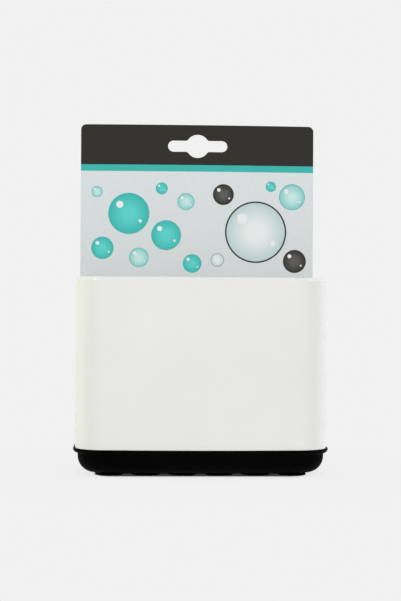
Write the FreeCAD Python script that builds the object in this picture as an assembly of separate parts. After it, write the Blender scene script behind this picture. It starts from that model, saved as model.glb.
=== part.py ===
import FreeCAD
import Part
import math
import os

# Kitchen sink caddy: a white open-ended sleeve that stands in a black tray on suction cups,
# with a printed hang card standing inside. Millimetres, +Z up, front towards -Y. The origin
# is on the counter under the middle of the tray.

# Sleeve, measured over its outside at the lower edge
sleeve_length = 133.2
sleeve_depth = 56.0
sleeve_height = 91.3
sleeve_wall = 1.5
rim_round_share = 0.8
rim_round_rise = 1.8
sleeve_draft = 0.28
sleeve_lead_in = 0.4
corner_radius = 15.5
long_side_bow = 3.2
short_side_bow = 0.6

# Base tray: shell, rolled lower edge, bead round the sleeve and upstand inside it
tray_shell = 2.0
tray_inset = 1.35
tray_edge_radius = 8.6
tray_wall_rise = 1.9
tray_wall_flare = 0.3
seat_thickness = 1.2
bead_grip = 1.3
bead_proud = 1.1
bead_tip = 0.4
bead_belly_share = 0.75
upstand_height = 5.0
upstand_wall = 1.4
sleeve_clearance = 0.3
floor_overlap = 0.5

# Stand-off bars on the tray floor, each over one front and one rear cup
boss_wall = 1.6
boss_cap = 1.3
bar_width = 3.4
bar_edge_round = 0.8

# Suction cups
cups_per_row = 6
cup_stand_height = 1.5
cup_edge_inset = 9.3
cup_row_gap = 4.7
cup_lip_radius = 7.5
cup_lip_thickness = 0.8
cup_lip_land = 0.8
cup_hollow_depth = 1.3
cup_shoulder_radius = 4.6
cup_cone_gap = 0.25
cup_seat_depth = 0.8
cup_seat_clearance = 0.3
stem_radius = 2.6
stem_length = 4.0
stem_tip_chamfer = 0.6
stem_clearance = 0.1
stem_end_gap = 0.3

# Hang card
card_height = 178.1
card_thickness = 0.5
card_side_play = 5.0
card_clearance = 0.1
card_forward = 4.0
card_corner_radius = 2.8
card_notch = 2.0
card_notch_rise = 1.5
card_fold_radius = 0.5
foot_reach = 20.0
foot_side_gap = 10.0
foot_corner_radius = 6.0
slot_length = 31.75
slot_width = 5.95
slot_eye_radius = 6.2
slot_blend_radius = 1.6
slot_from_top = 11.35

# Cuts run this far past the faces that they open
overrun = 1.0

# Heights worked out from the stack of cup, tray floor, bead and sleeve
tray_bottom = cup_stand_height
floor_top = tray_bottom + tray_shell
edge_top = tray_bottom + tray_edge_radius
neck_z = edge_top + tray_wall_rise
seat_z = neck_z + seat_thickness
bead_top = seat_z + bead_grip
bead_belly_z = neck_z + bead_belly_share * (bead_top - neck_z)
upstand_top = seat_z + upstand_height
rim_z = seat_z + sleeve_height
cup_shoulder_z = tray_bottom + cup_seat_depth
stem_top = cup_shoulder_z + stem_length
socket_top = stem_top + stem_end_gap
bar_top = socket_top + boss_cap

# Insets from the sleeve's outline, and places of the cups
upstand_outer = sleeve_wall + sleeve_clearance
upstand_inner = upstand_outer + upstand_wall
cove_radius = tray_edge_radius - tray_shell
floor_edge = max(upstand_inner + cove_radius, tray_inset + tray_edge_radius)
boss_radius = stem_radius + stem_clearance + boss_wall
cup_end_x = sleeve_length / 2 - tray_inset - cup_edge_inset - cup_lip_radius
cup_row_y = cup_lip_radius + cup_row_gap / 2
cup_pitch = 2 * cup_end_x / (cups_per_row - 1)

# The card takes its width from the sleeve's narrowest inside, at the rim, and lies to the left
card_width = sleeve_length - 2 * (sleeve_wall + sleeve_draft) - card_side_play
card_centre_x = card_clearance - card_side_play / 2
card_left = card_centre_x - card_width / 2
card_right = card_centre_x + card_width / 2
card_front_y = -card_forward - card_thickness / 2
card_back_y = card_front_y + card_thickness
card_top = bar_top + card_height
fold_outer = card_fold_radius + card_thickness
fold_y = card_front_y + fold_outer
fold_z = bar_top + fold_outer

# Vector straight up, and the reach of a 45 degree direction along each axis
up = FreeCAD.Vector(0, 0, 1)
diagonal = math.sqrt(1 / 2)


def polar(centre, radius, degrees, z):
    """Point at an angle round a centre, at height z."""
    turn = math.radians(degrees)
    x = centre[0] + radius * math.cos(turn)
    y = centre[1] + radius * math.sin(turn)
    return FreeCAD.Vector(x, y, z)


def plan_arcs():
    """The sleeve's outline as eight tangent arcs: centre, radius, start and end in degrees."""
    half_length = sleeve_length / 2
    half_depth = sleeve_depth / 2
    long_radius = (half_length**2 + long_side_bow**2) / (2 * long_side_bow)
    short_radius = (half_depth**2 + short_side_bow**2) / (2 * short_side_bow)
    long_y = half_depth - long_radius
    short_x = half_length - short_radius
    # The corner's centre lies so far from the two side centres that all three arcs touch
    from_long = long_radius - corner_radius
    from_short = short_radius - corner_radius
    span = math.hypot(short_x, long_y)
    along = (from_long**2 - from_short**2 + span**2) / (2 * span)
    across = math.sqrt(from_long**2 - along**2)
    ux = short_x / span
    uy = -long_y / span
    corner_x = along * ux + across * uy
    corner_y = long_y + along * uy - across * ux
    flat = math.degrees(math.atan2(corner_y, corner_x - short_x))
    steep = math.degrees(math.atan2(corner_y - long_y, corner_x))
    half = [
        ((short_x, 0), short_radius, -flat, flat),
        ((corner_x, corner_y), corner_radius, flat, steep),
        ((0, long_y), long_radius, steep, 180 - steep),
        ((-corner_x, corner_y), corner_radius, 180 - steep, 180 - flat),
    ]
    other_half = [((-c[0], -c[1]), r, start + 180, end + 180) for c, r, start, end in half]
    return half + other_half


def face_of(outline, place):
    """Face inside a closed outline of flat points, which place turns into points in space.
    An entry that holds two points is an arc through the first one to the second."""
    edges = []
    here = outline[0]
    for step in outline[1:] + outline[:1]:
        if isinstance(step[0], tuple):
            via, there = step
            curve = Part.Arc(place(*here), place(*via), place(*there))
        else:
            there = step
            curve = Part.LineSegment(place(*here), place(*there))
        edges.append(curve.toShape())
        here = there
    return Part.Face(Part.Wire(edges))


def ring(section):
    """Section of points (outset, z), swept round the sleeve's outline."""
    spans = []
    for centre, radius, start, end in plan_arcs():

        def place(outset, z):
            return polar(centre, radius + outset, start, z)

        axis_point = FreeCAD.Vector(*centre, 0)
        spans.append(face_of(section, place).revolve(axis_point, up, end - start))
    return spans[0].fuse(spans[1:]).removeSplitter()


def plan_block(inset, low, high):
    """Upright block inside the sleeve's outline, its sides moved in by an inset."""
    edges = []
    for centre, radius, start, end in plan_arcs():
        turns = (start, (start + end) / 2, end)
        edges.append(Part.Arc(*[polar(centre, radius - inset, turn, low) for turn in turns]).toShape())
    return Part.Face(Part.Wire(edges)).extrude(up * (high - low))


def turned(profile, x, y):
    """Profile of points (radius, z), turned about an upright axis at x, y."""

    def place(radius, z):
        return FreeCAD.Vector(x + radius, y, z)

    return face_of(profile, place).revolve(FreeCAD.Vector(x, y, 0), up, 360)


def cylinder(radius, x, y, low, high):
    """Upright cylinder between two heights."""
    return Part.makeCylinder(radius, high - low, FreeCAD.Vector(x, y, low))


def arc_middle(belly, tip):
    """Middle of the arc that runs upright at belly and ends at tip, on either side of it."""
    reach = abs(belly[0] - tip[0])
    side = (belly[0] - tip[0]) / reach
    rise = tip[1] - belly[1]
    radius = (reach**2 + rise**2) / (2 * reach)
    half_turn = math.atan2(rise, radius - reach) / 2
    out = belly[0] - side * radius * (1 - math.cos(half_turn))
    return (out, belly[1] + radius * math.sin(half_turn))


def round_middle(x, y, radius, side_x, side_y):
    """Middle of a quarter round about x, y, on the sides given as 1 or -1."""
    return (x + side_x * diagonal * radius, y + side_y * diagonal * radius)


def cup_places():
    """Name, x and y of each suction cup, from left to right in each row."""
    for row, y in (("front", -cup_row_y), ("rear", cup_row_y)):
        for index in range(cups_per_row):
            yield f"suction_cup_{row}_{index + 1}", -cup_end_x + index * cup_pitch, y


def sleeve():
    """White wall that leans in slightly towards a rounded rim, open at both ends."""
    outer_round = rim_round_share * sleeve_wall
    inner_round = sleeve_wall - outer_round
    outer_z = rim_z - rim_round_rise
    inner_z = rim_z - inner_round
    chamfer_z = seat_z + sleeve_lead_in
    outer = -sleeve_draft
    crest = outer - outer_round
    inner = outer - sleeve_wall
    return ring(
        [
            (-sleeve_lead_in, seat_z),
            (0, chamfer_z),
            (outer, outer_z),
            (arc_middle((outer, outer_z), (crest, rim_z)), (crest, rim_z)),
            (round_middle(crest, inner_z, inner_round, -1, 1), (inner, inner_z)),
            (-sleeve_wall, chamfer_z),
            (-sleeve_wall + sleeve_lead_in, seat_z),
        ]
    )


def tray_wall():
    """The tray's side: rolled lower edge, proud bead, groove for the sleeve, and upstand."""
    belly = (bead_proud, bead_belly_z)
    tip = (sleeve_clearance + bead_tip, bead_top)
    neck = (tray_wall_flare - tray_inset, neck_z)
    foot = (-tray_inset, edge_top)
    edge_centre = -tray_inset - tray_edge_radius
    cove_centre = -upstand_inner - cove_radius
    cove_top = floor_top + cove_radius
    half_wall = upstand_wall / 2
    crest_z = upstand_top - half_wall
    inner_end = -floor_edge - floor_overlap
    return ring(
        [
            (sleeve_clearance, seat_z),
            (sleeve_clearance, bead_top),
            tip,
            (arc_middle(belly, tip), belly),
            (arc_middle(belly, neck), neck),
            (arc_middle(foot, neck), foot),
            (round_middle(edge_centre, edge_top, tray_edge_radius, 1, -1), (edge_centre, tray_bottom)),
            (inner_end, tray_bottom),
            (inner_end, floor_top),
            (cove_centre, floor_top),
            (round_middle(cove_centre, cove_top, cove_radius, 1, -1), (-upstand_inner, cove_top)),
            (-upstand_inner, crest_z),
            ((-upstand_outer - half_wall, upstand_top), (-upstand_outer, crest_z)),
            (-upstand_outer, seat_z),
        ]
    )


def stand_off_bar(x):
    """Bar across the tray floor whose round ends hold a front and a rear cup's stem."""
    corner = FreeCAD.Vector(x - bar_width / 2, -cup_row_y, tray_bottom)
    bar = Part.makeBox(bar_width, 2 * cup_row_y, bar_top - tray_bottom, corner)
    ends = [cylinder(boss_radius, x, y, tray_bottom, bar_top) for y in (-cup_row_y, cup_row_y)]
    whole = bar.fuse(ends).removeSplitter()
    top_edges = [edge for edge in whole.Edges if edge.BoundBox.ZMin > bar_top - bar_edge_round]
    return whole.makeFillet(bar_edge_round, top_edges)


def base_tray():
    """Black tray with its floor, stand-off bars, and a seat and blind socket for each cup."""
    floor = plan_block(floor_edge, tray_bottom, floor_top)
    bars = [stand_off_bar(-cup_end_x + index * cup_pitch) for index in range(cups_per_row)]
    below = tray_bottom - overrun
    cuts = []
    for name, x, y in cup_places():
        cuts.append(cylinder(cup_shoulder_radius + cup_seat_clearance, x, y, below, cup_shoulder_z))
        cuts.append(cylinder(stem_radius + stem_clearance, x, y, below, socket_top))
    return tray_wall().fuse([floor] + bars).cut(cuts).removeSplitter()


def suction_cup(x, y):
    """Soft cup with a flat lip, a hollow underneath, a low cone, a shoulder and a push-in stem."""
    land_radius = cup_lip_radius - cup_lip_land
    dome_radius = (land_radius**2 + cup_hollow_depth**2) / (2 * cup_hollow_depth)
    half_turn = math.asin(land_radius / dome_radius) / 2
    hollow_z = cup_hollow_depth - dome_radius * (1 - math.cos(half_turn))
    profile = [
        (0, cup_hollow_depth),
        ((dome_radius * math.sin(half_turn), hollow_z), (land_radius, 0)),
        (cup_lip_radius, 0),
        (cup_lip_radius, cup_lip_thickness),
        (cup_shoulder_radius, tray_bottom - cup_cone_gap),
        (cup_shoulder_radius, cup_shoulder_z),
        (stem_radius, cup_shoulder_z),
        (stem_radius, stem_top - stem_tip_chamfer),
        (stem_radius - stem_tip_chamfer, stem_top),
        (0, stem_top),
    ]
    return turned(profile, x, y)


def card_panel():
    """Upright panel with rounded top corners, stepped in where it stands inside the upstand."""
    notch_z = upstand_top + card_notch_rise
    shoulder_z = card_top - card_corner_radius
    round_left = card_left + card_corner_radius
    round_right = card_right - card_corner_radius
    outline = [
        (card_left + card_notch, fold_z),
        (card_left + card_notch, notch_z),
        (card_left, notch_z),
        (card_left, shoulder_z),
        (round_middle(round_left, shoulder_z, card_corner_radius, -1, 1), (round_left, card_top)),
        (round_right, card_top),
        (round_middle(round_right, shoulder_z, card_corner_radius, 1, 1), (card_right, shoulder_z)),
        (card_right, notch_z),
        (card_right - card_notch, notch_z),
        (card_right - card_notch, fold_z),
    ]

    def place(x, z):
        return FreeCAD.Vector(x, card_front_y, z)

    return face_of(outline, place).extrude(FreeCAD.Vector(0, card_thickness, 0))


def card_foot():
    """Foot folded back from the panel's lower edge, which lies on the stand-off bars."""
    left = card_left + foot_side_gap
    right = card_right - foot_side_gap
    end_y = card_front_y + foot_reach
    round_y = end_y - foot_corner_radius
    round_left = left + foot_corner_radius
    round_right = right - foot_corner_radius
    plan = [
        (left, fold_y),
        (left, round_y),
        (round_middle(round_left, round_y, foot_corner_radius, -1, 1), (round_left, end_y)),
        (round_right, end_y),
        (round_middle(round_right, round_y, foot_corner_radius, 1, 1), (right, round_y)),
        (right, fold_y),
    ]
    bend = [
        (fold_y, bar_top),
        (round_middle(fold_y, fold_z, fold_outer, -1, -1), (card_front_y, fold_z)),
        (card_back_y, fold_z),
        (round_middle(fold_y, fold_z, card_fold_radius, -1, -1), (fold_y, bar_top + card_thickness)),
    ]

    def place_plan(x, y):
        return FreeCAD.Vector(x, y, bar_top)

    def place_bend(y, z):
        return FreeCAD.Vector(left, y, z)

    flat = face_of(plan, place_plan).extrude(up * card_thickness)
    return flat.fuse(face_of(bend, place_bend).extrude(FreeCAD.Vector(right - left, 0, 0)))


def peg_slot():
    """Cutter for the round-ended slot with a larger eye in its middle, for a display hook."""
    half_width = slot_width / 2
    half_run = slot_length / 2 - half_width
    # The blend's centre lies outside the eye and beyond the slot's side, touching both
    blend_reach = slot_eye_radius + slot_blend_radius
    blend_z = half_width + slot_blend_radius
    blend_x = math.sqrt(blend_reach**2 - blend_z**2)
    eye_share = slot_eye_radius / blend_reach
    eye_x = blend_x * eye_share
    eye_z = blend_z * eye_share
    half_turn = math.atan2(blend_x - eye_x, blend_z - eye_z) / 2
    middle_x = blend_x - slot_blend_radius * math.sin(half_turn)
    middle_z = blend_z - slot_blend_radius * math.cos(half_turn)
    upper = [
        (blend_x, half_width),
        ((middle_x, middle_z), (eye_x, eye_z)),
        ((0, slot_eye_radius), (-eye_x, eye_z)),
        ((-middle_x, middle_z), (-blend_x, half_width)),
        (-half_run, half_width),
        ((-slot_length / 2, 0), (-half_run, -half_width)),
    ]

    def opposite(entry):
        if isinstance(entry[0], tuple):
            return tuple(opposite(point) for point in entry)
        return (-entry[0], -entry[1])

    def place(x, z):
        return FreeCAD.Vector(card_centre_x + x, card_front_y - overrun, card_top - slot_from_top + z)

    outline = upper + [opposite(entry) for entry in upper]
    return face_of(outline, place).extrude(FreeCAD.Vector(0, card_thickness + 2 * overrun, 0))


def hang_card():
    """Printed board with a peg slot, standing on a folded foot."""
    return card_panel().fuse(card_foot()).cut(peg_slot()).removeSplitter()


def main():
    pieces = {"sleeve": sleeve(), "base_tray": base_tray(), "hang_card": hang_card()}
    for name, x, y in cup_places():
        pieces[name] = suction_cup(x, y)
    os.makedirs("parts", exist_ok=True)
    for name, shape in pieces.items():
        print(name, len(shape.Solids), shape.isValid(), round(shape.Volume, 2))
        shape.Solids[0].exportStep(f"parts/{name}.step")


main()
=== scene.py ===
import bpy
import math
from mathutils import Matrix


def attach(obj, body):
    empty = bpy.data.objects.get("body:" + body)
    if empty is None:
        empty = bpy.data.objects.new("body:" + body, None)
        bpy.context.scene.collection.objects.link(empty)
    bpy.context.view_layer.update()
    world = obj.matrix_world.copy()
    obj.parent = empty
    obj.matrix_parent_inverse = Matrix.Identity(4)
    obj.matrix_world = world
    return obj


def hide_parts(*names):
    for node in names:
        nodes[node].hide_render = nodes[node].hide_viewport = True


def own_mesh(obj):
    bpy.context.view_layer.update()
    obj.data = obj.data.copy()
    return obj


# Kitchen sink caddy: white sleeve in a black tray on suction cups, with a printed hang card
# standing inside. Metres, +Z up, front towards -Y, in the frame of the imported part.
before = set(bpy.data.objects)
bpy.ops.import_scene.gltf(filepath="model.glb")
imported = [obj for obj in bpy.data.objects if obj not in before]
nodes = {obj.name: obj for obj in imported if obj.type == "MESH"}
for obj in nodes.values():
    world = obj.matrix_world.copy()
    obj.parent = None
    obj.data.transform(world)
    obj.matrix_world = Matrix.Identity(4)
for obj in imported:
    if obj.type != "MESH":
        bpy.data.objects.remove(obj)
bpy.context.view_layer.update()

# Camera: place, turns, and its lens and sensor in millimetres
view_distance = 0.700
view_height = 0.0922
view_aside = -0.00019
view_turn = math.radians(-2.5)
view_roll = math.radians(-0.36)
view_lens = 77.8
view_sensor = 36

# Heights of the sleeve's edges and of the tray's bead, and how far the wear goes from those edges
sleeve_rim = 0.1045
sleeve_foot = 0.0132
handled_depth = 0.004
seated_depth = 0.002
bead_foot = 0.0120
bead_belly = 0.0139

# Suction cups: their places, then the rings of the profile as radius and height, from the crown
# of the hollow round the lip and up to the tip of the stem
cups_per_row = 6
cup_end_x = 0.04845
cup_row_y = 0.00985
cup_segments = 64
cup_smooth_angle = math.radians(40)
cup_rings = (
    (0.00040, 0.00130),
    (0.00160, 0.00123),
    (0.00300, 0.00105),
    (0.00440, 0.00075),
    (0.00560, 0.00040),
    (0.00650, 0.00008),
    (0.00672, 0.00000),
    (0.00728, 0.00000),
    (0.00745, 0.00006),
    (0.00750, 0.00020),
    (0.00750, 0.00052),
    (0.00744, 0.00068),
    (0.00730, 0.00078),
    (0.00640, 0.00090),
    (0.00550, 0.00103),
    (0.00495, 0.00113),
    (0.00468, 0.00122),
    (0.00460, 0.00136),
    (0.00460, 0.00212),
    (0.00454, 0.00226),
    (0.00440, 0.00230),
    (0.00278, 0.00230),
    (0.00262, 0.00235),
    (0.00260, 0.00250),
    (0.00260, 0.00570),
    (0.00200, 0.00630),
)

# Hang card: board, fold and foot as packed, with the bow that a loose card takes towards its top,
# and how near to each other two places count as the same
card_left = -0.06472
card_right = 0.05992
card_width = card_right - card_left
card_middle_x = (card_left + card_right) / 2
card_middle_y = -0.0040
card_top = 0.1860
card_thickness = 0.0005
card_corner = 0.0028
card_bow = 0.0017
card_slices = 30
card_smooth_angle = math.radians(30)
corner_segments = 8
notch_width = 0.0020
notch_top = 0.0197
fold_z = 0.0089
fold_y = -0.00325
fold_steps = 6
foot_side_gap = 0.010
foot_end_y = 0.01575
foot_corner = 0.006
same_place = 1e-5

# Peg slot: a long slot and a round eye, blended into each other, and the steps of their arcs
peg_z = 0.17465
peg_length = 0.03175
peg_width = 0.00595
peg_eye = 0.0062
peg_blend = 0.0016
peg_cut_depth = 0.006
peg_end_steps = 10
peg_blend_steps = 6
peg_eye_steps = 20

# Colours that a cloudy noise mixes in pairs, then those of marks, and specular levels
sleeve_whites = ((0.775, 0.785, 0.745), (0.800, 0.806, 0.770))
tray_blacks = ((0.0005, 0.0005, 0.0004), (0.0014, 0.0013, 0.0012))
cup_blacks = ((0.0005, 0.0005, 0.0005), (0.0014, 0.0014, 0.0014))
board_greys = ((0.60, 0.58, 0.54), (0.68, 0.665, 0.63))
floor_greys = ((0.86, 0.86, 0.86), (0.88, 0.88, 0.88))
speck_grey = (0.52, 0.51, 0.47)
touch_grey = (0.58, 0.57, 0.53)
dust_grey = (0.20, 0.19, 0.18)
fleck_brown = (0.34, 0.30, 0.25)
white_gloss = 0.5
black_gloss = 0.02
print_gloss = 0.25
board_gloss = 0.3

# Card print: heights of the band, the stripe and the field's change of colour, half the blur of a
# printed edge, the y of a face's normal up to which it is printed, and colours
band_bottom = 0.16463
stripe_bottom = 0.16114
field_top = 0.158
field_bottom = 0.100
field_low = (0.634, 0.660, 0.666)
field_high = (0.686, 0.726, 0.733)
print_edge = 0.00006
front_facing = -0.5
teal = (0.046, 0.446, 0.403)
light_teal = (0.110, 0.620, 0.570)
charcoal = (0.0190, 0.0168, 0.0132)
grey = (0.100, 0.096, 0.090)
suds_white = (0.800, 0.815, 0.815)
suds_shade = (0.470, 0.600, 0.605)
mist_teal = (0.560, 0.770, 0.755)
deep_mist = (0.200, 0.570, 0.535)

# Printed bubbles as x, z, radius, core, skin and ring. In shares of the radius: the even core, the
# inside of the ring, and two glints as places aside and above and a radius
bubbles = (
    (-0.0390, 0.1385, 0.0110, light_teal, teal, teal),
    (-0.0190, 0.1270, 0.0080, light_teal, teal, teal),
    (-0.0530, 0.1200, 0.0060, light_teal, teal, teal),
    (-0.0335, 0.1150, 0.0052, mist_teal, deep_mist, teal),
    (-0.0085, 0.1450, 0.0046, mist_teal, deep_mist, teal),
    (-0.0215, 0.1520, 0.0032, light_teal, teal, teal),
    (-0.0560, 0.1500, 0.0030, mist_teal, deep_mist, teal),
    (-0.0050, 0.1120, 0.0050, light_teal, teal, teal),
    (0.0290, 0.1290, 0.0165, suds_white, suds_shade, charcoal),
    (0.0485, 0.1480, 0.0070, mist_teal, deep_mist, teal),
    (0.0115, 0.1490, 0.0056, grey, charcoal, charcoal),
    (0.0500, 0.1135, 0.0062, grey, charcoal, charcoal),
    (0.0085, 0.1140, 0.0036, suds_white, suds_shade, charcoal),
    (0.0370, 0.1535, 0.0028, light_teal, teal, teal),
)
bubble_core = 0.25
bubble_inside = 0.95
bubble_glints = (
    (-0.44, 0.44, 0.17),
    (0.56, -0.36, 0.08),
)

# Backdrop, and how the floor goes from the shadow to it round the rectangle of the cups' middles:
# from one distance to another, and by how much
backdrop = (0.88, 0.88, 0.88, 1)
floor_size = 6
shadow_floor_share = 0.01
shadow_end_x = 0.0462
# Grey painted into the floor as a contact shadow where the cups nearly touch it
painted_contact_shadow = (0.50, 0.50, 0.50)
bounce_grey = (0.40, 0.40, 0.40)
shadow_steps = (
    (0.0087, 0.0109, 0.82),
    (0.0109, 0.0220, 0.13),
    (0.0220, 0.1200, 0.04),
)

# Light: an even one all round, then lamps that aim at the object's middle, as name, degrees right
# of the front, degrees above the floor, size, watts and colour. Glint lamps show in the gloss only.
world_colour = (1, 1, 1, 1)
world_strength = 0.19
lamp_aim = 0.08
lamp_distance = 4.4
lamps = (
    ("key_left", -48, 22, 1.2, 46, (1.0, 0.99, 0.965)),
    ("key_right", 54, 22, 1.2, 33, (0.93, 0.94, 1.0)),
    ("front", 2, 8, 1.0, 90.5, (1, 1, 1)),
    ("front_top", 0, 64, 1.6, 27, (1, 1, 1)),
    ("side_left", -116, 12, 1.6, 122, (1.0, 0.98, 0.86)),
    ("side_right", 116, 12, 1.6, 150, (0.925, 0.935, 1.0)),
)
glint_distance = 2.2
glint_lamps = (
    ("glint_left", -42, 20, 0.45, 6.4, (1, 1, 1)),
    ("glint_right", 50, 17, 0.45, 8.0, (1, 1, 1)),
)


def start_clean():
    """Leave edit mode and select nothing."""
    if bpy.context.object and bpy.context.object.mode != "OBJECT":
        bpy.ops.object.mode_set(mode="OBJECT")
    bpy.ops.object.select_all(action="DESELECT")


def new_material(name):
    """Empty node material; returns it, its tree and the tree's output."""
    material = bpy.data.materials.new(name)
    material.use_nodes = True
    tree = material.node_tree
    tree.nodes.clear()
    return material, tree, tree.nodes.new("ShaderNodeOutputMaterial")


def node(tree, kind, links=None, **values):
    """Node of a kind with settings or socket values by name, and links from sockets to its inputs."""
    made = tree.nodes.new(kind)
    for name, value in values.items():
        if hasattr(made, name):
            setattr(made, name, value)
        else:
            made.inputs[name.replace("_", " ")].default_value = value
    for name, socket in (links or {}).items():
        tree.links.new(socket, made.inputs[name])
    return made


def combined(tree, operation, first, second):
    """Two values added, multiplied or compared."""
    return node(tree, "ShaderNodeMath", {0: first, 1: second}, operation=operation).outputs[0]


def vector_math(tree, operation, place, other=(0, 0, 0)):
    """Vector node on a place and a fixed vector."""
    made = node(tree, "ShaderNodeVectorMath", {0: place}, operation=operation)
    made.inputs[1].default_value = other
    return made


def place_of(tree):
    """Object coordinates, in metres."""
    return node(tree, "ShaderNodeTexCoord").outputs["Object"]


def height_of(tree, place):
    return node(tree, "ShaderNodeSeparateXYZ", {"Vector": place}).outputs["Z"]


def noise(tree, place, scale, detail=2.0):
    made = node(tree, "ShaderNodeTexNoise", {"Vector": place}, Scale=scale, Detail=detail)
    return made.outputs["Fac"]


def streaks(tree, place, stretch, scale):
    """Noise drawn out along one axis, as fine wiping marks are."""
    turned = node(tree, "ShaderNodeMapping", {"Vector": place})
    turned.inputs["Scale"].default_value = stretch
    return noise(tree, turned.outputs["Vector"], scale, detail=4)


def spread(tree, value, low, high, from_low=0.3, from_high=0.7):
    """Value mapped from one range to another, clamped."""
    made = node(tree, "ShaderNodeMapRange", {"Value": value})
    made.inputs["From Min"].default_value = from_low
    made.inputs["From Max"].default_value = from_high
    made.inputs["To Min"].default_value = low
    made.inputs["To Max"].default_value = high
    return made.outputs["Result"]


def mix_colour(tree, share, first, second):
    """Colour between two, each a colour or a socket."""
    made = tree.nodes.new("ShaderNodeMix")
    made.data_type = "RGBA"
    tree.links.new(share, made.inputs["Factor"])
    for index, colour in ((6, first), (7, second)):
        if isinstance(colour, tuple):
            made.inputs[index].default_value = (*colour, 1)
        else:
            tree.links.new(colour, made.inputs[index])
    return made.outputs[2]


def cloudy(tree, place, colours, scale, detail=2.0):
    """Colour that wavers between two."""
    cloud = spread(tree, noise(tree, place, scale, detail), low=0, high=1)
    return mix_colour(tree, cloud, *colours)


def specked(tree, colour, speck, grain, share, start, end):
    """Colour with up to a share of another, where a noise rises from one level to another."""
    there = spread(tree, grain, low=0, high=share, from_low=start, from_high=end)
    return mix_colour(tree, there, colour, speck)


def bump(tree, height, strength, distance):
    made = node(tree, "ShaderNodeBump", {"Height": height}, Strength=strength, Distance=distance)
    return made.outputs["Normal"]


def surface(tree, out, colour, roughness, normal, gloss):
    """Principled surface from linked colour, roughness and normal."""
    links = {"Base Color": colour, "Roughness": roughness, "Normal": normal}
    made = node(tree, "ShaderNodeBsdfPrincipled", links, Specular_IOR_Level=gloss)
    tree.links.new(made.outputs["BSDF"], out.inputs["Surface"])


def gloss_white():
    """Warm white moulding with a faint orange peel, hairline wiping marks and a handled rim."""
    material, tree, out = new_material("gloss_white")
    place = place_of(tree)
    height = height_of(tree, place)
    colour = cloudy(tree, place, sleeve_whites, scale=24)
    # Sparse specks in the resin, and a trace of grey where hands and the tray touch it
    resin = noise(tree, place, scale=1400, detail=1)
    colour = specked(tree, colour, speck_grey, resin, share=0.25, start=0.74, end=0.80)
    handled = spread(tree, height, 0, 0.10, sleeve_rim - handled_depth, sleeve_rim)
    seated = spread(tree, height, 0.04, 0, sleeve_foot, sleeve_foot + seated_depth)
    patch = spread(tree, noise(tree, place, scale=110, detail=3), 0, 1, from_low=0.42, from_high=0.62)
    touched = combined(tree, "MULTIPLY", combined(tree, "ADD", handled, seated), patch)
    colour = mix_colour(tree, touched, colour, touch_grey)
    peel = spread(tree, noise(tree, place, scale=160, detail=4), low=0.09, high=0.13)
    wiping = streaks(tree, place, stretch=(1.0, 1.0, 0.05), scale=1300)
    wiped = spread(tree, wiping, 0, 0.05, from_low=0.55, from_high=0.75)
    roughness = combined(tree, "ADD", peel, wiped)
    normal = bump(tree, noise(tree, place, scale=700), strength=0.04, distance=0.0002)
    surface(tree, out, colour, roughness, normal, white_gloss)
    return material


def satin_black():
    """Black moulding with a fine spark-eroded texture, rubbed smoother along the bead."""
    material, tree, out = new_material("satin_black")
    place = place_of(tree)
    height = height_of(tree, place)
    colour = cloudy(tree, place, tray_blacks, scale=60, detail=4)
    dust = noise(tree, place, scale=1900, detail=1)
    colour = specked(tree, colour, dust_grey, dust, share=0.02, start=0.70, end=0.80)
    grain = spread(tree, noise(tree, place, scale=220, detail=3), low=0.54, high=0.66)
    rubbed = spread(tree, height, 0, -0.10, bead_foot, bead_belly)
    roughness = combined(tree, "ADD", grain, rubbed)
    texture = combined(tree, "ADD", noise(tree, place, scale=2600), noise(tree, place, scale=900))
    normal = bump(tree, texture, strength=0.10, distance=0.0001)
    surface(tree, out, colour, roughness, normal, black_gloss)
    return material


def soft_black():
    """Soft black elastomer of the suction cups, with faint turning marks from its mould."""
    material, tree, out = new_material("soft_black")
    place = place_of(tree)
    colour = cloudy(tree, place, cup_blacks, scale=240, detail=4)
    roughness = spread(tree, noise(tree, place, scale=500, detail=3), low=0.46, high=0.62)
    turning = streaks(tree, place, stretch=(0.2, 0.2, 1.0), scale=4000)
    marks = combined(tree, "ADD", noise(tree, place, scale=3500), turning)
    normal = bump(tree, marks, strength=0.08, distance=0.0001)
    surface(tree, out, colour, roughness, normal, black_gloss)
    return material


def reach_from(tree, flat, x, z):
    """Distance on the card from a point."""
    return vector_math(tree, "DISTANCE", flat, (x, 0, z)).outputs["Value"]


def inside(tree, reach, radius):
    """One up to a radius, nothing beyond it."""
    return spread(tree, reach, 1, 0, radius - print_edge, radius + print_edge)


def above(tree, height, level):
    """One above a height, nothing below it."""
    return spread(tree, height, 0, 1, level - print_edge, level + print_edge)


def bubble(tree, flat, under, x, z, radius, core, skin, ring):
    """Printed soap bubble: a ring, a fill that deepens towards it, and two glints."""
    reach = reach_from(tree, flat, x, z)
    body = mix_colour(tree, spread(tree, reach, 0, 1, bubble_core * radius, radius), core, skin)
    ringed = mix_colour(tree, inside(tree, reach, radius), under, ring)
    filled = mix_colour(tree, inside(tree, reach, bubble_inside * radius), ringed, body)
    glints = []
    for shift_x, shift_z, size in bubble_glints:
        glint_reach = reach_from(tree, flat, x + shift_x * radius, z + shift_z * radius)
        glints.append(inside(tree, glint_reach, size * radius))
    return mix_colour(tree, combined(tree, "MAXIMUM", *glints), filled, suds_white)


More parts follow.
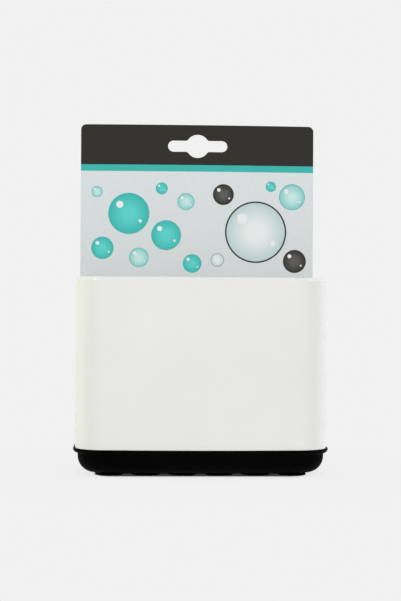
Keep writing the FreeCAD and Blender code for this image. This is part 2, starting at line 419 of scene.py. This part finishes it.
def coated_print():
    """Printed front of the card: a dark band and a teal stripe over a pale field with bubbles."""
    material, tree, out = new_material("coated_print")
    place = place_of(tree)
    axes = node(tree, "ShaderNodeSeparateXYZ", {"Vector": place}).outputs
    height = axes["Z"]
    flat = node(tree, "ShaderNodeCombineXYZ", {"X": axes["X"], "Z": height}).outputs["Vector"]
    field_share = spread(tree, height, 0, 1, field_bottom, field_top)
    colour = mix_colour(tree, field_share, field_low, field_high)
    for spot in bubbles:
        colour = bubble(tree, flat, colour, *spot)
    colour = mix_colour(tree, above(tree, height, stripe_bottom), colour, teal)
    colour = mix_colour(tree, above(tree, height, band_bottom), colour, charcoal)
    # Ink lies a little unevenly
    ink = spread(tree, noise(tree, place, scale=900, detail=3), low=0.95, high=1.0)
    inked = node(tree, "ShaderNodeVectorMath", {0: colour, "Scale": ink}, operation="SCALE")
    roughness = spread(tree, noise(tree, place, scale=300, detail=3), low=0.34, high=0.44)
    normal = bump(tree, noise(tree, place, scale=1800, detail=3), strength=0.05, distance=0.0001)
    surface(tree, out, inked.outputs["Vector"], roughness, normal, print_gloss)
    return material


def bare_board():
    """Uncoated back and cut edges of the card, with fibres and a few darker flecks."""
    material, tree, out = new_material("bare_board")
    place = place_of(tree)
    colour = cloudy(tree, place, board_greys, scale=1500, detail=4)
    flecks = noise(tree, place, scale=700)
    colour = specked(tree, colour, fleck_brown, flecks, share=0.5, start=0.68, end=0.74)
    roughness = spread(tree, noise(tree, place, scale=400, detail=3), low=0.75, high=0.9)
    normal = bump(tree, noise(tree, place, scale=2200, detail=4), strength=0.25, distance=0.0001)
    surface(tree, out, colour, roughness, normal, board_gloss)
    return material


def dress(name, material):
    """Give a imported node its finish."""
    mesh = nodes[name].data
    mesh.materials.clear()
    mesh.materials.append(material)


dress("sleeve", gloss_white())
dress("base_tray", satin_black())


def pick(piece, kind, wanted):
    """In edit mode, select only the edges or faces that a test takes."""
    bpy.ops.mesh.select_mode(type=kind)
    bpy.ops.mesh.select_all(action="DESELECT")
    bpy.ops.object.mode_set(mode="OBJECT")
    mesh = piece.data
    for part in mesh.edges if kind == "EDGE" else mesh.polygons:
        spots = [piece.matrix_world @ mesh.vertices[index].co for index in part.vertices]
        part.select = wanted(spots)
    bpy.ops.object.mode_set(mode="EDIT")


def all_near(spots, axis, value):
    return all(abs(spot[axis] - value) < same_place for spot in spots)


def corners_at(axis, value):
    """Test for edges at an end of the card that stay at one place along the length."""
    return lambda spots: all_near(spots, axis, value) and all_near(spots, 0, spots[0][0])


def bottom_within(height, side_gap):
    """Test for faces that look down at a height, a gap or more inside the card's sides."""
    left = card_left + side_gap - same_place
    right = card_right - side_gap + same_place
    return lambda spots: all_near(spots, 2, height) and all(left < spot[0] < right for spot in spots)


def slice_at(x):
    """Cut all round the piece in edit mode at one place along the length."""
    bpy.ops.mesh.select_all(action="SELECT")
    bpy.ops.mesh.bisect(plane_co=(x, 0, 0), plane_no=(1, 0, 0))


def extrude(x, y, z):
    """Draw out what is selected in edit mode."""
    bpy.ops.mesh.extrude_region_move(TRANSFORM_OT_translate={"value": (x, y, z)})


def end_edit():
    """Turn all faces outwards and leave edit mode."""
    bpy.ops.mesh.select_all(action="SELECT")
    bpy.ops.mesh.normals_make_consistent(inside=False)
    bpy.ops.object.mode_set(mode="OBJECT")


def make_active(piece):
    """Select one piece only."""
    start_clean()
    piece.select_set(True)
    bpy.context.view_layer.objects.active = piece


def apply_modifier(piece, kind, **values):
    """Add a modifier to the active piece, set it up and apply it."""
    bpy.ops.object.modifier_add(type=kind)
    made = piece.modifiers[-1]
    for name, value in values.items():
        setattr(made, name, value)
    bpy.ops.object.modifier_apply(modifier=made.name)


def card_blank():
    """Flat board with rounded corners, a narrower tongue and a folded foot."""
    start_clean()
    bpy.ops.mesh.primitive_cube_add(
        size=1,
        location=(card_middle_x, card_middle_y, (notch_top + card_top) / 2),
        scale=(card_width, card_thickness, card_top - notch_top),
    )
    card = bpy.context.object
    card.name = "printed_card"
    bpy.ops.object.transform_apply(location=False, rotation=False, scale=True)
    bpy.ops.object.mode_set(mode="EDIT")
    pick(card, "EDGE", corners_at(2, card_top))
    bpy.ops.mesh.bevel(offset=card_corner, segments=corner_segments, affect="EDGES")
    # Tongue below the notches, then the fold and the foot
    slice_at(card_left + notch_width)
    slice_at(card_right - notch_width)
    pick(card, "FACE", bottom_within(notch_top, notch_width))
    extrude(0, 0, fold_z - notch_top)
    slice_at(card_left + foot_side_gap)
    slice_at(card_right - foot_side_gap)
    pick(card, "FACE", bottom_within(fold_z, foot_side_gap))
    fold_centre = (card_middle_x, fold_y, fold_z)
    bpy.ops.mesh.spin(steps=fold_steps, angle=-math.pi / 2, center=fold_centre, axis=(1, 0, 0))
    extrude(0, foot_end_y - fold_y, 0)
    pick(card, "EDGE", corners_at(1, foot_end_y))
    bpy.ops.mesh.bevel(offset=foot_corner, segments=corner_segments, affect="EDGES")
    for index in range(1, card_slices):
        slice_at(card_left + card_width * index / card_slices)
    end_edit()
    return card


def arc(x, z, radius, start, end, steps):
    """Points on the card's plane round a centre, from one angle in degrees to another."""
    turns = [math.radians(start + (end - start) * step / steps) for step in range(steps + 1)]
    return [(x + radius * math.cos(turn), z + radius * math.sin(turn)) for turn in turns]


def peg_outline():
    """Round-ended slot with an eye in its middle, blended into each other, round its centre."""
    half_width = peg_width / 2
    end_x = peg_length / 2 - half_width
    blend_z = half_width + peg_blend
    blend_x = math.sqrt((peg_eye + peg_blend) ** 2 - blend_z ** 2)
    lean = math.degrees(math.atan2(blend_z, blend_x))
    upper = arc(end_x, 0, half_width, 0, 90, peg_end_steps)
    upper += arc(blend_x, blend_z, peg_blend, -90, lean - 180, peg_blend_steps)
    upper += arc(0, 0, peg_eye, lean, 180 - lean, peg_eye_steps)[1:-1]
    upper += arc(-blend_x, blend_z, peg_blend, -lean, -90, peg_blend_steps)
    upper += arc(-end_x, 0, half_width, 90, 180, peg_end_steps)
    lower = [(-x, -z) for x, z in upper]
    return upper[:-1] + lower[:-1]


def peg_cutter():
    """Bar through the card with the outline of the peg slot."""
    start_clean()
    outline = peg_outline()
    bpy.ops.mesh.primitive_circle_add(
        vertices=len(outline),
        fill_type="NGON",
        location=(card_middle_x, card_middle_y - peg_cut_depth / 2, peg_z),
    )
    cutter = bpy.context.object
    for vertex, (x, z) in zip(cutter.data.vertices, outline):
        vertex.co = (x, 0, z)
    bpy.ops.object.mode_set(mode="EDIT")
    bpy.ops.mesh.select_mode(type="FACE")
    bpy.ops.mesh.select_all(action="SELECT")
    extrude(0, peg_cut_depth, 0)
    end_edit()
    return cutter


def bow_card(card):
    """Bow the card, its middle towards the front, by more the higher it is."""
    group = card.vertex_groups.new(name="bow")
    for vertex in card.data.vertices:
        rise = ((card.matrix_world @ vertex.co).z - fold_z) / (card_top - fold_z)
        group.add([vertex.index], min(1, max(0, rise)), "REPLACE")
    # A flat arc turns by eight times its rise over its width
    turn = 8 * card_bow / card_width
    apply_modifier(
        card,
        "SIMPLE_DEFORM",
        deform_method="BEND",
        deform_axis="Z",
        angle=turn,
        vertex_group="bow",
    )
    apply_modifier(
        card,
        "DISPLACE",
        direction="Y",
        mid_level=0,
        strength=-card_bow / 2,
        vertex_group="bow",
    )
    bpy.ops.object.transform_apply(location=True, rotation=True, scale=True)


def face_card(card):
    """Print in front, bare board on the back and the cut edges."""
    card.data.materials.append(coated_print())
    card.data.materials.append(bare_board())
    bpy.ops.object.mode_set(mode="EDIT")
    bpy.ops.mesh.select_mode(type="FACE")
    bpy.ops.mesh.select_all(action="DESELECT")
    bpy.ops.object.mode_set(mode="OBJECT")
    for face in card.data.polygons:
        face.select = face.normal.y > front_facing
    bpy.ops.object.mode_set(mode="EDIT")
    card.active_material_index = 1
    bpy.ops.object.material_slot_assign()
    bpy.ops.object.mode_set(mode="OBJECT")


def hang_card():
    """Printed board with a peg slot and a folded foot, bowed towards its top."""
    card = card_blank()
    cutter = peg_cutter()
    make_active(card)
    apply_modifier(card, "BOOLEAN", operation="DIFFERENCE", object=cutter)
    bpy.data.objects.remove(cutter)
    bow_card(card)
    face_card(card)
    bpy.ops.object.shade_smooth_by_angle(angle=card_smooth_angle)
    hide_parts("hang_card")
    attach(card, "card")


hang_card()


def first_cup(x, y):
    """Suction cup drawn up ring by ring from the crown of its hollow to the tip of its stem."""
    start_clean()
    radius, height = cup_rings[0]
    bpy.ops.mesh.primitive_circle_add(
        vertices=cup_segments,
        radius=radius,
        fill_type="NGON",
        location=(x, y, height),
    )
    cup = bpy.context.object
    bpy.ops.object.transform_apply(location=True, rotation=True, scale=True)
    bpy.ops.object.mode_set(mode="EDIT")
    bpy.ops.mesh.select_mode(type="EDGE")
    bpy.ops.mesh.select_all(action="SELECT")
    for next_radius, next_height in cup_rings[1:]:
        rise = (0, 0, next_height - height)
        bpy.ops.mesh.extrude_edges_move(TRANSFORM_OT_translate={"value": rise})
        share = next_radius / radius
        bpy.ops.transform.resize(value=(share, share, 1), center_override=(x, y, next_height))
        radius, height = next_radius, next_height
    bpy.ops.mesh.edge_face_add()
    end_edit()
    bpy.ops.object.shade_smooth_by_angle(angle=cup_smooth_angle)
    return cup


def suction_cups():
    """Two rows of cups, each copy with its own mesh."""
    rubber = soft_black()
    pitch = 2 * cup_end_x / (cups_per_row - 1)
    pattern = first_cup(-cup_end_x, -cup_row_y)
    for row, shift_y in (("front", 0), ("rear", 2 * cup_row_y)):
        for index in range(cups_per_row):
            make_active(pattern)
            bpy.ops.object.duplicate()
            cup = bpy.context.object
            bpy.ops.transform.translate(value=(index * pitch, shift_y, 0))
            bpy.ops.object.transform_apply(location=True, rotation=True, scale=True)
            cup.name = f"cup_{row}_{index + 1}"
            cup.data.materials.append(rubber)
            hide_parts(f"suction_cup_{row}_{index + 1}")
            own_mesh(cup)
            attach(cup, "cups")
    bpy.data.objects.remove(pattern)


suction_cups()


def seen_directly(tree):
    """One for rays of the camera, also by reflection, and nothing for light thrown on."""
    path = node(tree, "ShaderNodeLightPath").outputs
    seen = combined(tree, "MAXIMUM", path["Is Camera Ray"], path["Is Glossy Ray"])
    return combined(tree, "MAXIMUM", seen, path["Is Transmission Ray"])


def show_mixed(tree, out, share, first, second):
    """Surface between two shader nodes."""
    links = {"Fac": share, 1: first.outputs[0], 2: second.outputs[0]}
    both = node(tree, "ShaderNodeMixShader", links)
    tree.links.new(both.outputs[0], out.inputs["Surface"])


def pale_floor():
    """Floor that looks like the backdrop, apart from the shadow near the object, which is partly cast
    and partly a painted contact shadow at the cups.
    """
    material, tree, out = new_material("pale_floor")
    place = place_of(tree)
    seen = seen_directly(tree)
    # Distance from the rectangle between the two rows of cups
    sides = vector_math(tree, "ABSOLUTE", place).outputs["Vector"]
    past = vector_math(tree, "SUBTRACT", sides, (shadow_end_x, cup_row_y, 0)).outputs["Vector"]
    beyond = vector_math(tree, "MAXIMUM", past).outputs["Vector"]
    reach = vector_math(tree, "LENGTH", beyond).outputs["Value"]
    (start, end, gain), *others = shadow_steps
    pale = spread(tree, reach, shadow_floor_share, shadow_floor_share + gain, start, end)
    # Painted contact shadow: greyer where the cups nearly touch it. Also duller in the light that it
    # throws on the object
    clear = spread(tree, reach, 0, 1, start, end)
    colour = mix_colour(tree, clear, painted_contact_shadow, cloudy(tree, place, floor_greys, scale=3))
    colour = mix_colour(tree, seen, bounce_grey, colour)
    for start, end, gain in others:
        pale = combined(tree, "ADD", pale, spread(tree, reach, 0, gain, start, end))
    lit = node(tree, "ShaderNodeBsdfDiffuse", {"Color": colour})
    glow = node(tree, "ShaderNodeEmission", Color=backdrop)
    show_mixed(tree, out, combined(tree, "MULTIPLY", seen, pale), lit, glow)
    return material


start_clean()
bpy.ops.mesh.primitive_plane_add(size=floor_size)
floor = bpy.context.object
floor.name = "floor"
floor.data.materials.append(pale_floor())


def studio_world():
    """Even light all round, seen as a pale backdrop."""
    world = bpy.data.worlds.new("studio")
    bpy.context.scene.world = world
    world.use_nodes = True
    tree = world.node_tree
    tree.nodes.clear()
    out = tree.nodes.new("ShaderNodeOutputWorld")
    light = node(tree, "ShaderNodeBackground", Color=world_colour, Strength=world_strength)
    shown = node(tree, "ShaderNodeBackground", Color=backdrop, Strength=1.0)
    show_mixed(tree, out, seen_directly(tree), light, shown)


studio_world()


def soft_light(name, turn, rise, size, watts, colour, distance, gloss):
    """Square lamp aimed at the object from a turn right of the front and a rise above the floor.

    A lamp for gloss only shows as a glint; the others light the surfaces and leave none."""
    start_clean()
    lamp = bpy.data.lights.new(name, "AREA")
    lamp.shape = "SQUARE"
    lamp.size = size
    lamp.energy = watts
    lamp.color = colour
    holder = bpy.data.objects.new(name, lamp)
    bpy.context.scene.collection.objects.link(holder)
    turn, rise = math.radians(turn), math.radians(rise)
    flat = distance * math.cos(rise)
    height = lamp_aim + distance * math.sin(rise)
    holder.location = (flat * math.sin(turn), -flat * math.cos(turn), height)
    holder.rotation_euler = (math.pi / 2 - rise, 0, turn)
    holder.visible_camera = False
    holder.visible_glossy = gloss
    holder.visible_diffuse = not gloss


for lamp_values in lamps:
    soft_light(*lamp_values, lamp_distance, gloss=False)
for lamp_values in glint_lamps:
    soft_light(*lamp_values, glint_distance, gloss=True)

camera_data = bpy.data.cameras.new("camera")
camera_data.sensor_width = view_sensor
camera_data.lens = view_lens
camera = bpy.data.objects.new("camera", camera_data)
bpy.context.scene.collection.objects.link(camera)
camera_x = view_distance * math.sin(view_turn) + view_aside
camera.location = (camera_x, -view_distance * math.cos(view_turn), view_height)
camera.rotation_euler = (math.pi / 2, view_roll, view_turn)
bpy.context.scene.camera = camera
bpy.context.scene.view_settings.view_transform = "Standard"
